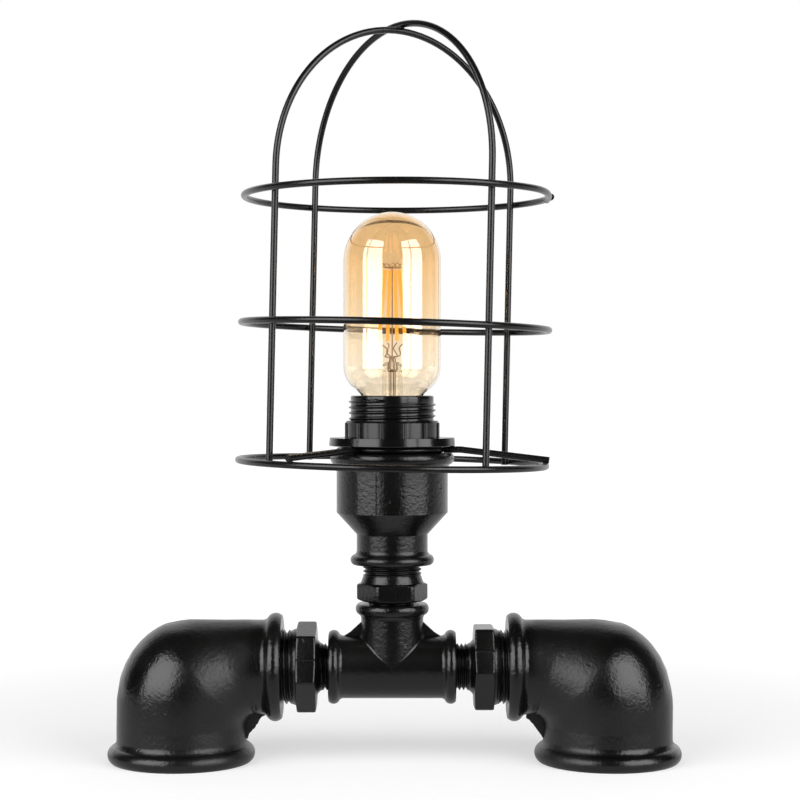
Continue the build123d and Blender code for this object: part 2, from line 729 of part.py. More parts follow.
with BuildPart(ring_plane(middle_ring_rise, middle_tilt_angle)) as cage_middle_ring:
    Torus(cage_ring_radius, wire_radius)
finish(cage_middle_ring, "cage_middle_ring")

top_plane = ring_plane(top_ring_rise, top_tilt_angle)
with BuildPart() as cage_top_ring:
    with BuildLine(top_plane) as route:
        hoop = CenterArc(
            (0, 0), cage_ring_radius, top_gap_angle / 2, 360 - top_gap_angle - loose_end_angle
        )
        loose_end = Vector(cage_ring_radius - loose_end_inset, 0, -loose_end_drop)
        loose_end = top_plane.from_local_coords(loose_end.rotate(Axis.Z, -top_gap_angle / 2))
        TangentArc(hoop @ 1, loose_end, tangent=hoop % 1)
    with BuildSketch(Plane(route.wire() @ 0, z_dir=route.wire() % 0)):
        Circle(wire_radius)
    sweep(path=route.wire())
finish(cage_top_ring, "cage_top_ring")

# Two bent wires cross at the crown, and the second one lies on the first.
for name, turn, rise in (("lower", -arch_angle - 90, 0), ("upper", -arch_angle, 2 * wire_radius + weld_gap)):
    across = Vector(1, 0, 0).rotate(Axis.Z, turn)
    arch_plane = Plane(cage.from_local_coords(Vector(0, 0, 0)),
                       x_dir=cage.from_local_coords(across) - cage.origin,
                       z_dir=cage.from_local_coords(across.rotate(Axis.Z, -90)) - cage.origin)
    with BuildPart() as arch:
        with BuildLine(arch_plane) as route:
            Line((leg_radius, -wire_radius), (leg_radius, arch_spring_rise + rise))
            top = CenterArc((0, arch_spring_rise + rise), leg_radius, 0, 180)
            Line(top @ 1, (-leg_radius, -wire_radius))
        with BuildSketch(Plane(route.wire() @ 0, z_dir=route.wire() % 0)):
            Circle(wire_radius)
        sweep(path=route.wire())
    finish(arch, f"cage_arch_{name}")

with BuildPart(Plane((0, 0, hub_height))) as cage_hub_ring:
    Torus(hub_ring_radius, wire_radius)
finish(cage_hub_ring, "cage_hub_ring")

# The spokes leave the hub level, pass out between the socket and the shade ring, and fall to lie on
# the low ring.
with BuildPart() as cage_spokes:
    for turn in spoke_angles:
        out = Vector(1, 0, 0).rotate(Axis.Z, -turn)
        rest = cage.from_local_coords(out * cage_ring_radius + Vector(0, 0, 2 * wire_radius + 2 * weld_gap))
        flat_end = out * hub_flat + Vector(0, 0, hub_height)
        end = rest + (rest - flat_end).normalized() * spoke_overrun
        start = out * (hub_ring_radius + wire_radius + weld_gap) + Vector(0, 0, hub_height)
        with BuildLine() as route:
            FilletPolyline(start, flat_end, end, radius=spoke_bend)
        with BuildSketch(Plane(start, z_dir=out)):
            Circle(wire_radius)
        sweep(path=route.wire())
finish(cage_spokes, "cage_spokes")

# ---- bulb ---------------------------------------------------------------------------------------------
# Two arcs lead from the wall in to the neck: the shoulder, and a hollow one that turns back upright.
neck_inset = bulb_radius - bulb_neck_radius
neck_angle = 2 * math.degrees(math.atan(neck_inset / bulb_shoulder_rise))
neck_fillet = neck_inset / (1 - math.cos(math.radians(neck_angle))) - bulb_shoulder_radius


def glass_outline(wall):
    """The bulb's outline from the foot of its neck to the crown, with wall taken off."""
    radius = bulb_radius - wall
    start = Line((radius, bulb_shoulder_height), (radius, bulb_top - bulb_radius))
    dome = CenterArc((0, bulb_top - bulb_radius), radius, 0, 90)
    shoulder = JernArc(start @ 0, (0, -1), bulb_shoulder_radius - wall, -neck_angle)
    neck = JernArc(shoulder @ 1, shoulder % 1, neck_fillet + wall, neck_angle)
    foot = Line(neck @ 1, (bulb_neck_radius - wall, neck_foot))
    return dome, foot


with BuildPart() as bulb_glass:
    with BuildSketch(Plane.XZ):
        with BuildLine():
            dome, foot = glass_outline(0)
            Polyline(dome @ 1, (0, neck_foot), foot @ 1)
        make_face()
    revolve(axis=Axis.Z)
    with BuildSketch(Plane.XZ):
        with BuildLine():
            dome, foot = glass_outline(glass_wall)
            Polyline(dome @ 1, (0, neck_foot), foot @ 1)
        make_face()
    revolve(axis=Axis.Z, mode=Mode.SUBTRACT)
finish(bulb_glass, "bulb_glass")

with BuildPart() as bulb_cap:
    turned(
        (
            (cap_insulator_radius, cap_base),
            (cap_radius - cap_edge, cap_base),
            (cap_radius, cap_base + cap_edge),
            (cap_radius, cap_top),
            (cap_radius - cap_wall, cap_top),
            (cap_radius - cap_wall, cap_base + cap_edge),
            (cap_radius - cap_edge - cap_wall, cap_base + cap_wall),
            (cap_insulator_radius, cap_base + cap_wall),
        )
    )
finish(bulb_cap, "bulb_cap")

insulator_base = tip_base + tip_height
with BuildPart() as cap_insulator:
    turned(
        (
            (tip_pin_radius + running_gap, insulator_base),
            (tip_radius, insulator_base),
            (cap_insulator_radius - thread_gap, cap_base - insulator_edge),
            (cap_insulator_radius - thread_gap, cap_base + cap_wall),
            (tip_pin_radius + running_gap, cap_base + cap_wall),
        )
    )
finish(cap_insulator, "cap_insulator")

with BuildPart() as bulb_contact:
    turned(
        (
            (0, tip_base),
            (tip_radius - running_gap - tip_edge, tip_base),
            (tip_radius - running_gap, insulator_base - seat_gap),
            (tip_pin_radius, insulator_base - seat_gap),
            (tip_pin_radius, tip_base + tip_pin_length),
            (0, tip_base + tip_pin_length),
        )
    )
finish(bulb_contact, "bulb_contact")

with BuildPart() as driver_board:
    with BuildSketch(axis_plane(cap_base + driver_rise)):
        Rectangle(2 * (cap_radius - cap_wall - driver_gap), driver_thickness)
    extrude(amount=driver_length)
    with BuildSketch(axis_plane(cap_base + driver_rise + driver_margin)):
        with Locations((-driver_part, (driver_part + driver_thickness) / 2)):
            Rectangle(driver_part, driver_part)
    extrude(amount=driver_length - 2 * driver_margin)
    with BuildSketch(axis_plane(cap_base + driver_rise + driver_margin)):
        with Locations((driver_part, -(driver_part + driver_thickness) / 2)):
            Circle(driver_part / 2)
    extrude(amount=driver_length - 2 * driver_margin)
finish(driver_board, "driver_board")

flare_top = stem_foot + stem_flare_height
stem_bore = stem_radius - stem_wall
with BuildPart() as glass_stem:
    with BuildSketch(Plane.XZ):
        with BuildLine():
            flare = Spline(
                (stem_flare_radius, stem_foot), (stem_radius, flare_top), tangents=((0, 1), (0, 1))
            )
            closed_end = Polyline(
                flare @ 1, (stem_radius, stem_top - stem_nose), (stem_radius - stem_nose, stem_top),
                (0, stem_top), (0, stem_top - stem_seal), (stem_bore, stem_top - stem_seal - stem_nose),
                (stem_bore, flare_top),
            )
            inner = Spline(
                closed_end @ 1, (stem_flare_radius - stem_wall, stem_foot), tangents=((0, -1), (0, -1))
            )
            Line(inner @ 1, flare @ 0)
        make_face()
    revolve(axis=Axis.Z)
finish(glass_stem, "glass_stem")


def filament_end(index, spread, height):
    """Where a filament's end lies, on a circle about the bulb's axis."""
    turn = filament_angle + 360 * index / filament_count
    return Vector(spread, 0, height).rotate(Axis.Z, turn)


with BuildPart() as led_filaments:
    for index in range(filament_count):
        rod(
            filament_end(index, filament_low_spread, filament_low),
            filament_end(index, filament_top_spread, filament_top),
            filament_radius,
        )
finish(led_filaments, "led_filaments")

cross_height = filament_top + filament_radius + lead_radius
with BuildPart() as support_wires:
    rod((0, 0, stem_top), (0, 0, cross_height + support_tail), lead_radius)
    for index in range(filament_count):
        tip = filament_end(index, filament_top_spread + support_overrun, cross_height)
        rod((0, 0, cross_height), tip, lead_radius)
finish(support_wires, "support_wires")

with BuildPart() as lead_wires:
    for index in range(filament_count):
        low = filament_end(index, filament_low_spread, filament_low - filament_radius - lead_radius)
        foot = filament_end(index, lead_spacing / 2, stem_top)
        knee = foot + Vector(0, 0, lead_straight)
        rod(foot, knee, lead_radius)
        rod(knee, low, lead_radius)
finish(lead_wires, "lead_wires")
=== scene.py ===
"""Looks of the pipe fitting table lamp: screw threads, castings, cage, bulb, finishes, studio and camera.

Metres, +Z up. The riser stands on the Z axis, the elbows lie along X, and -Y is the front.
"""
import json
import math

import bmesh
import bpy
import numpy as np
from mathutils import Matrix, Vector


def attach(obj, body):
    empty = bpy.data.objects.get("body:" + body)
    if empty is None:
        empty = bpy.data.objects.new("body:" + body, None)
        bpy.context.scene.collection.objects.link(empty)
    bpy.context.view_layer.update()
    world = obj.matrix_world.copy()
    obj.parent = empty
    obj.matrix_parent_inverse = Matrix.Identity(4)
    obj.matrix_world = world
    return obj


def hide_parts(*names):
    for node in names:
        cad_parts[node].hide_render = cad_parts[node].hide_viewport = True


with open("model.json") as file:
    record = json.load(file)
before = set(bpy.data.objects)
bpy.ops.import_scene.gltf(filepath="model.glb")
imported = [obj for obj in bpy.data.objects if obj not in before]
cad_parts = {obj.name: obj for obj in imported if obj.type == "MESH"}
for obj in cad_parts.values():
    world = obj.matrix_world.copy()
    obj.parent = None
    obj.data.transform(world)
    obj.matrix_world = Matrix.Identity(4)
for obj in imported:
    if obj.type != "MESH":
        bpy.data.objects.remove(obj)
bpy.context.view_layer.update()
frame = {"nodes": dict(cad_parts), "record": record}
MM = 0.001
TURN = 2 * math.pi
SHARP = math.radians(50)  # edges that turn by more than this stay sharp

# ---- pipe threads: radius of the crests, pitch and depth ----------------------------------------------
HALF_INCH = (10.478 * MM, 1.814 * MM, 1.162 * MM)
THREE_QUARTER_INCH = (13.221 * MM, 1.814 * MM, 1.162 * MM)
ONE_INCH = (16.625 * MM, 2.309 * MM, 1.479 * MM)
THREAD_STEPS = 16  # rings to a pitch
THREAD_LEAD_IN = 1.2 * MM  # over which a thread rises from its root at a free end

# ---- side nipples -------------------------------------------------------------------------------------
RUN_HEIGHT = 42.0 * MM
TEE_HALF = 28.5 * MM
ENGAGED = 13.0 * MM  # length of a thread inside its fitting
SIDE_HEX = 36.0 * MM
SIDE_HEX_WIDTH = 9.0 * MM
SIDE_BORE = 8.0 * MM
SIDE_HEX_WEAR = {"blunt": 0.985, "chamfer": 0.12, "edge_in": 0.5 * MM, "edge_along": 1.1 * MM}
# Run-outs: how far from the hexagon's face, and the radius there.
SMALL_SHOULDER = np.array([(0, 12.6), (0.5, 12.1), (1.5, 10.95), (2.6, 10.35), (3.7, 9.25), (9, 9.25)]) * MM
LARGE_SHOULDER = np.array([(0, 17.2), (0.8, 17.0), (1.7, 16.6), (2.9, 16.0), (3.8, 15.1), (9, 15.1)]) * MM

# ---- riser nipple -------------------------------------------------------------------------------------
RISER_FOOT = 57.5 * MM
RISER_HEX_BASE = 71.8 * MM
RISER_HEX = 28.3 * MM
RISER_HEX_WIDTH = 8.3 * MM
RISER_HEX_CORNER = math.radians(5.8)
RISER_HEX_WEAR = {"blunt": 0.975, "chamfer": 0.4, "edge_in": 0.5 * MM, "edge_along": 0.8 * MM}
RISER_BORE = 7.0 * MM
RISER_TOP = 101.2 * MM
RISER_CREST = 86.0 * MM  # height of a crest of the upper thread at +X
RISER_SHOULDER = np.array([(0, 14.1), (1.0, 13.7), (2.4, 13.25), (3.3, 12.9), (4.0, 12.05), (9, 12.05)]) * MM

# ---- lamp holder and bulb cap -------------------------------------------------------------------------
SKIRT_BASE, SKIRT_TOP = 128.0 * MM, 164.0 * MM
SKIRT_BORE = 17.3 * MM
SKIRT_LIP, SKIRT_LIP_FOOT = 2 * MM, 3.05 * MM  # where the lip of the mouth starts and ends, down from it
HOLDER_CREST, HOLDER_ROOT, HOLDER_COLLAR = 19.6 * MM, 18.62 * MM, 18.7 * MM
HOLDER_PITCH = 2.5 * MM
HOLDER_THREAD_END = 161.7 * MM  # height of the crest where the thread ends
HOLDER_THREAD_END_ANGLE = math.radians(-101)
MOUTH_RADIUS = 15.2 * MM
RING_RIB_BASE, RING_RIB_LENGTH = 145.1 * MM, 6.7 * MM
RING_RIB_CENTRE, RING_RIB_RADIUS = 21.05 * MM, 0.86 * MM
RING_RIBS, RING_RIB_START = 12, 15  # how many, and degrees from +X to the first
CAP_FOOT, CAP_TOP = 140.6 * MM, 160.0 * MM
CAP_LEAD = 3.629 * MM
CAP_CREST, CAP_ROOT = 13.1 * MM, 12.4 * MM
CAP_OPENING = CAP_CREST - 2.6 * MM  # radius where the glass insulator starts
CAP_WALL = 0.35 * MM
CAP_EDGE = 1.0 * MM
CAP_RIM = 1.8 * MM  # height of the plain rim above the thread, and of the fade into it

# ---- wire cage ----------------------------------------------------------------------------------------
WIRE = 1.5 * MM
CAGE_BASE = 133.9 * MM
CAGE_LEAN = math.radians(1.25)
RING_RADIUS = 69.0 * MM
RING_RISES = (0, 61.2 * MM, 119.7 * MM)
RING_TILTS = (0, math.radians(0.35), math.radians(-1.25))
CROWN_RISE = (128.1 + 65.98 + 1.5) * MM
ARCH_ANGLES = (-53, -143, 37, 127)
SPOKE_ANGLES = (8.5, 128.5, 248.5)
HUB_HEIGHT = 139.85 * MM
HUB_RADIUS = 22.0 * MM

# ---- inside of the bulb -------------------------------------------------------------------------------
FILAMENTS = 4
FILAMENT_ANGLE = 20
FILAMENT_LOW = (6.3 * MM, 187.6 * MM)  # radius and height of the filaments' lower ends
ANCHOR = (3.7 * MM, 222.6 * MM)  # radius and height of the filaments' anchors
ANCHOR_RAY = 1.05 * MM
LEAD_CIRCLE, LEAD_FOOT = 1.5 * MM, 163.0 * MM  # radius and height of the lead wires' lower ends
STEM_TOP = 179.0 * MM

# ---- casting flash on the edges of the elbows' webs: points from the lamp's axis and above the table, mm
FLASH_ROOTS = {-1: ((60.4, 21.4), (68.2, 10.3)), 1: ((61.8, 21.1), (69.2, 10.2))}
FLASH_LIPS = {
    -1: ((56.4, 20.6), (58.7, 19.6), (59.9, 17.7), (61.0, 15.7), (63.0, 13.3), (64.3, 11.9), (64.8, 9.8)),
    1: ((60.0, 20.8), (60.4, 19.9), (60.3, 18.8), (62.1, 17.7), (63.9, 15.9), (65.0, 14.2), (66.6, 12.0),
        (67.6, 10.2)),
}

# ---- studio and camera --------------------------------------------------------------------------------
THROUGH_GLASS = 1.12  # how much brighter than plain white the backdrop is for light that comes through glass
CAMERA_HEIGHT = 0.1674
CAMERA_DISTANCE = 0.870
CAMERA_SIDE = 0.0035
CAMERA_LENS = 87.0
CAMERA_SHIFT = -0.015


# ---- node trees ---------------------------------------------------------------------------------------
class Value:
    """A number in a node tree. Arithmetic on it adds Math nodes."""

    def __init__(self, graph, socket):
        self.graph, self.socket = graph, socket

    def maths(self, operation, *numbers):
        """What a Math node makes of those numbers."""
        return self.graph.node("ShaderNodeMath", {"operation": operation}, dict(enumerate(numbers)))

    def __add__(self, other):
        return self.maths("ADD", self, other)

    __radd__ = __add__

    def __mul__(self, other):
        return self.maths("MULTIPLY", self, other)

    __rmul__ = __mul__

    def __rsub__(self, other):
        return self.maths("SUBTRACT", other, self)

    def __abs__(self):
        return self.maths("ABSOLUTE", self)

    def ramp(self, low, high, start=0.0, end=1.0):
        """start at low, end at high, with soft ends."""
        return self.graph.node(
            "ShaderNodeMapRange", {"interpolation_type": "SMOOTHSTEP"},
            {"Value": self, "From Min": low, "From Max": high, "To Min": start, "To Max": end},
        )


class Graph:
    """A node tree and the one method that adds to it."""

    def __init__(self, tree):
        self.tree = tree

    def node(self, kind, settings=None, values=None, output=0):
        """Adds a node of that type, sets it up, fills its sockets and returns an output."""
        made = self.tree.nodes.new(kind)
        for key, value in (settings or {}).items():
            setattr(made, key, value)
        for key, value in (values or {}).items():
            if isinstance(value, Value):
                self.tree.links.new(value.socket, made.inputs[key])
            else:
                made.inputs[key].default_value = value
        return Value(self, made.outputs[output]) if made.outputs else made


class Finish(Graph):
    """A material with one Principled shader. Constants are written on its own sockets."""

    def __init__(self, name, **constants):
        self.material = bpy.data.materials.new(name)
        self.material.use_nodes = True
        super().__init__(self.material.node_tree)
        self.shader = self.tree.nodes["Principled BSDF"]
        for socket, value in constants.items():
            self.shader.inputs[socket.replace("_", " ")].default_value = value
        self.place = self.node("ShaderNodeTexCoord", output="Object")

    def noise(self, scale, detail=2.0, roughness=0.5):
        """Noise from 0 to 1 in Object coordinates, scale in cycles a metre."""
        return self.node(
            "ShaderNodeTexNoise", {},
            {"Vector": self.place, "Scale": scale, "Detail": detail, "Roughness": roughness},
        )

    def axis(self, letter):
        """One coordinate of the place on the surface."""
        return self.node("ShaderNodeSeparateXYZ", {}, {"Vector": self.place}, output=letter)

    def blend(self, factor, first, second):
        """A colour between two colours."""
        return self.node(
            "ShaderNodeMix", {"data_type": "RGBA"}, {0: factor, 6: (*first, 1), 7: (*second, 1)}, output=2
        )

    def set(self, **links):
        """Links what varies into the shader."""
        for socket, value in links.items():
            self.tree.links.new(value.socket, self.shader.inputs[socket.replace("_", " ")])
        return self

    def glow(self, colour, strength):
        """A little light of its own."""
        self.shader.inputs["Emission Color"].default_value = (*colour, 1)
        self.shader.inputs["Emission Strength"].default_value = strength
        return self

    def bump(self, *layers):
        """Stacks height layers, each a height from 0 to 1 and its depth in metres."""
        normal = None
        for height, depth in layers:
            values = {"Height": height, "Distance": depth, "Strength": 1.0}
            if normal:
                values["Normal"] = normal
            normal = self.node("ShaderNodeBump", {}, values)
        return self.set(Normal=normal)


# ---- finishes -----------------------------------------------------------------------------------------
def cast_black():
    """Gloss black paint over an as-cast surface, with orange peel and a few casting pits."""
    finish = Finish("cast_black")
    peel = finish.noise(620.0, 2.0, 0.5)
    grain = finish.noise(1900.0, 2.0)
    pits = finish.noise(210.0, 1.0).ramp(0.68, 0.8)
    cloud = finish.noise(38.0, 3.0)
    out = abs(finish.axis("X"))
    arm = out.ramp(0.060, 0.066) * out.ramp(0.103, 0.076)  # the elbows' arms are rougher
    finish.set(
        Base_Color=finish.blend(cloud.ramp(0.35, 0.7), (0.0022, 0.0022, 0.0021), (0.0045, 0.0044, 0.0042)),
        Roughness=0.2 + cloud.ramp(0.3, 0.75) * 0.06 + arm * 0.16,
    )
    return finish.bump((1 - pits, 0.00008), (peel, 0.00014), (grain, 0.000035))


def wire_black():
    """Satin powder coat on drawn wire."""
    finish = Finish("wire_black")
    peel = finish.noise(900.0, 2.0)
    cloud = finish.noise(60.0, 2.0)
    finish.set(
        Base_Color=finish.blend(cloud, (0.0025, 0.0025, 0.0024), (0.0045, 0.0044, 0.0042)),
        Roughness=0.22 + cloud * 0.08,
    )
    return finish.bump((peel, 0.00004))


def holder_black():
    """Moulded black phenolic with a soft gloss."""
    finish = Finish("holder_black")
    cloud = finish.noise(90.0, 2.0)
    fine = finish.noise(1600.0, 2.0)
    finish.set(
        Base_Color=finish.blend(cloud, (0.0022, 0.0022, 0.0022), (0.0042, 0.0042, 0.0042)),
        Roughness=0.13 + cloud * 0.08,
    )
    return finish.bump((fine, 0.00002))


def rubber_black():
    """Matt moulded rubber."""
    finish = Finish("rubber_black")
    fine = finish.noise(1300.0, 3.0)
    finish.set(
        Base_Color=finish.blend(fine, (0.011, 0.011, 0.011), (0.022, 0.022, 0.022)),
        Roughness=0.55 + fine * 0.15,
    )
    return finish.bump((fine, 0.00005))


def plated(name, low, high, roughness):
    """Plated or drawn metal with faint streaks."""
    finish = Finish(name, Metallic=1.0)
    streak = finish.noise(500.0, 2.0)
    finish.set(Base_Color=finish.blend(streak, low, high), Roughness=roughness + streak * 0.12)
    return finish.bump((streak, 0.00001))


def plain(name, low, high, roughness, depth=0.00002):
    """A dull solid colour with a slight unevenness."""
    finish = Finish(name)
    cloud = finish.noise(300.0, 3.0)
    finish.set(Base_Color=finish.blend(cloud, low, high), Roughness=roughness + cloud * 0.1)
    return finish.bump((cloud, depth))


def amber_glass():
    """Blown glass with an amber lustre that thins out towards the neck."""
    finish = Finish("amber_glass", Roughness=0.0, IOR=1.9, Transmission_Weight=1.0)
    height = finish.axis("Z").ramp(0.160, 0.238)
    return finish.set(Base_Color=finish.blend(height, (0.985, 0.915, 0.8), (0.935, 0.725, 0.465)))


def clear_glass():
    """Pressed clear glass."""
    finish = Finish("clear_glass", Roughness=0.02, IOR=1.5, Transmission_Weight=1.0)
    haze = finish.noise(300.0)
    return finish.set(Base_Color=finish.blend(haze, (0.93, 0.92, 0.88), (0.98, 0.97, 0.94)))


def bulb_wire():
    """Nickel iron wire. Its brown colour is a painted tint of the amber glass around it, and its glow is
    painted light that brightens it inside the glass.
    """
    return plain("bulb_wire", (0.34, 0.2, 0.09), (0.5, 0.31, 0.14), 0.3).glow((0.62, 0.36, 0.17), 0.18)


def filament_phosphor():
    """Orange phosphor over a row of chips. Its glow is painted light, since the filament is unlit."""
    finish = Finish("filament_phosphor", Roughness=0.5).glow((1.0, 0.5, 0.06), 0.8)
    cloud = finish.noise(900.0)
    return finish.set(Base_Color=finish.blend(cloud, (0.90, 0.42, 0.03), (0.98, 0.52, 0.06)))


FINISHES = {
    "cast_black": cast_black(),
    "rubber_black": rubber_black(),
    "zinc_steel": plated("zinc_steel", (0.5, 0.5, 0.48), (0.66, 0.66, 0.64), 0.28),
    "holder_black": holder_black(),
    "insert_ceramic": plain("insert_ceramic", (0.8, 0.78, 0.72), (0.88, 0.86, 0.82), 0.2),
    "contact_brass": plated("contact_brass", (0.66, 0.46, 0.18), (0.76, 0.56, 0.25), 0.25),
    "wire_black": wire_black(),
    "cap_nickel": plated("cap_nickel", (0.6, 0.58, 0.52), (0.72, 0.7, 0.64), 0.22),
    "cap_glass_black": plain("cap_glass_black", (0.008, 0.008, 0.012), (0.014, 0.014, 0.02), 0.12),
    "board_green": plain("board_green", (0.04, 0.18, 0.08), (0.06, 0.25, 0.12), 0.4),
    "amber_glass": amber_glass(),
    "clear_glass": clear_glass(),
    "bulb_wire": bulb_wire(),
    "filament_phosphor": filament_phosphor(),
}
SLOTS = {subpart["node"]: subpart["material_slot"] for subpart in frame["record"]["subparts"]}
for node, slot in SLOTS.items():
    mesh = frame["nodes"][node].data
    mesh.materials.clear()
    mesh.materials.append(FINISHES[slot].material)


# ---- turned and threaded pieces -----------------------------------------------------------------------
def smooth(value):
    """A soft step from 0 to 1."""
    value = np.clip(value, 0, 1)
    return value * value * (3 - 2 * value)


def hex_slices(corner, seams=()):
    """Angles round a piece, closest together at the six corners of its hexagon and at its seams."""
    sides, per_side, crowding = 6, 24, 0.12
    beside = (-2, -1.3, -0.9, -0.5, 0, 0.5, 0.9, 1.3, 2)  # degrees from a seam
    share = np.arange(sides * per_side) / per_side
    even = (share - crowding * np.sin(TURN * share)) * TURN / sides
    near = [seam - corner + math.radians(step) for seam in seams for step in beside]
    return corner + np.unique(np.round(np.concatenate((even, near)) % TURN, 6))


def seam_fin(angles, seams):
    """How far the fin that the two halves of a mould leave stands out."""
    height, spread = 0.35 * MM, math.radians(0.8)
    away = [((angles - seam + math.pi) % TURN - math.pi) / spread for seam in seams]
    return height * sum(np.exp(-(step ** 2)) for step in away)


def finished(name, mesh, body, slot, replaces=None):
    """An object of that mesh, which rides on a body and has the finish of a material slot."""
    mesh.materials.append(FINISHES[slot].material)
    piece = bpy.data.objects.new(name, mesh)
    bpy.context.scene.collection.objects.link(piece)
    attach(piece, body)
    if replaces:
        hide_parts(replaces)
    return piece


def closed_mesh(name, points, faces):
    """A closed shell with its faces outwards, smooth but for its sharp edges."""
    mesh = bpy.data.meshes.new(name)
    mesh.from_pydata(points, [], faces)
    shape = bmesh.new()
    shape.from_mesh(mesh)
    bmesh.ops.recalc_face_normals(shape, faces=shape.faces)
    shape.to_mesh(mesh)
    shape.free()
    mesh.shade_smooth()
    mesh.set_sharp_from_angle(angle=SHARP)
    return mesh


def skin(rings, angles, place):
    """A closed surface of rings, each a radius and a height for all angles or for each. The last ring
    joins the first. place turns x, y and height into points."""
    radius = np.array([np.broadcast_to(ring[0], angles.shape) for ring in rings])
    height = np.array([np.broadcast_to(ring[1], angles.shape) for ring in rings])
    points = np.stack(place(radius * np.cos(angles), radius * np.sin(angles), height), axis=-1)
    here = np.arange(radius.size).reshape(radius.shape)
    beside, above = np.roll(here, -1, axis=1), np.roll(here, -1, axis=0)
    faces = np.stack((here, beside, np.roll(above, -1, axis=1), above), axis=-1).reshape(-1, 4)
    return closed_mesh("skin", points.reshape(-1, 3).tolist(), faces.tolist())


def thread(size, height, angles, crest_at, sense=1):
    """Radius of a right-handed thread. crest_at is the height of a crest at angle 0, and sense is -1
    where the height runs against the axis of the angles."""
    crest, pitch, depth = size
    turns = (height - crest_at) / pitch - sense * angles / TURN
    away = 2 * np.abs((turns + 0.5) % 1 - 0.5)
    return crest - depth * smooth(away)


def threaded(size, low, high, angles, crest_at, sense=1, free_end=0, shoulder=None, face=0.0):
    """Rings of a thread from low to high. free_end is -1 or 1 where it starts or ends with a lead-in,
    and the shoulder's run-out is measured from a hexagon's face."""
    crest, pitch, depth = size
    rings = []
    for height in np.linspace(low, high, int((high - low) / pitch * THREAD_STEPS) + 2):
        radius = thread(size, height, angles, crest_at, sense)
        if free_end:
            inside = height - low if free_end < 0 else high - height
            radius = np.minimum(radius, crest - depth * (1 - smooth(inside / THREAD_LEAD_IN)))
        if shoulder is not None:
            radius = np.maximum(radius, np.interp(abs(height - face), shoulder[:, 0], shoulder[:, 1]))
        rings.append((radius, height))
    return rings


def hex_rings(across, low, high, angles, corner, blunt, chamfer, edge_in, edge_along, fin=0.0):
    """Rings of a hexagon with blunted corners, turned chamfers and worn edges. chamfer is the slope
    of the chamfers, an edge reaches in and along, and fin stands out from the flats."""
    steps, face_edge = 4, 0.1 * MM
    swing = (angles - corner) % (TURN / 6) - TURN / 12
    reach = np.minimum(across / 2 / np.cos(swing), blunt * across / math.sqrt(3))
    drop = chamfer * (reach - across / 2)
    reach = reach + fin
    up = [(across / 2 - edge_in - face_edge, low + 0 * angles)]
    for step in range(steps + 1):
        turn = TURN / 4 * step / steps
        up.append((reach - edge_in * (1 - math.sin(turn)), low + drop + edge_along * (1 - math.cos(turn))))
    down = [(radius, low + high - height) for radius, height in reversed(up)]
    return up + down


def side_nipple(name, side, small_shown, large_shown, corner_back, small_crest, large_crest):
    """Hex reducing nipple. Heights run outwards from the tee's mouth, in millimetres where they are
    given, and angles from the back up. corner_back is how far a corner lies behind the top."""
    corner = math.radians(90 - corner_back)
    seams = (corner + TURN / 4, corner - TURN / 4)
    angles = hex_slices(corner, seams)
    face_in, face_out = small_shown * MM, small_shown * MM + SIDE_HEX_WIDTH
    end = face_out + large_shown * MM + ENGAGED
    quarter = side / 4  # the crests are given at the top
    small = threaded(HALF_INCH, -ENGAGED, face_in, angles, small_crest * MM - quarter * HALF_INCH[1], side,
                     -1, SMALL_SHOULDER, face_in)
    large = threaded(ONE_INCH, face_out, end, angles, large_crest * MM - quarter * ONE_INCH[1], side,
                     1, LARGE_SHOULDER, face_out)
    middle = hex_rings(SIDE_HEX, face_in, face_out, angles, corner, **SIDE_HEX_WEAR,
                       fin=seam_fin(angles, seams))
    rings = [(SIDE_BORE, -ENGAGED), *small, *middle, *large, (SIDE_BORE, end)]
    mesh = skin(rings, angles, lambda y, z, along: (side * (TEE_HALF + along), y, RUN_HEIGHT + z))
    return finished(name, mesh, "base", "cast_black", name.replace("_threads", ""))


def riser_nipple():
    """Hex reducing nipple between the tee and the reducing socket, with a turned shoulder."""
    angles = hex_slices(RISER_HEX_CORNER)
    hex_top = RISER_HEX_BASE + RISER_HEX_WIDTH
    low = threaded(HALF_INCH, RISER_FOOT, RISER_HEX_BASE, angles, RISER_FOOT, free_end=-1)
    high = threaded(THREE_QUARTER_INCH, hex_top, RISER_TOP, angles, RISER_CREST, free_end=1,
                    shoulder=RISER_SHOULDER, face=hex_top)
    middle = hex_rings(RISER_HEX, RISER_HEX_BASE, hex_top, angles, RISER_HEX_CORNER, **RISER_HEX_WEAR)
    rings = [(RISER_BORE, RISER_FOOT), *low, *middle, *high, (RISER_BORE, RISER_TOP)]
    mesh = skin(rings, angles, lambda x, y, z: (x, y, z))
    return finished("riser_nipple_threads", mesh, "base", "cast_black", "riser_nipple")


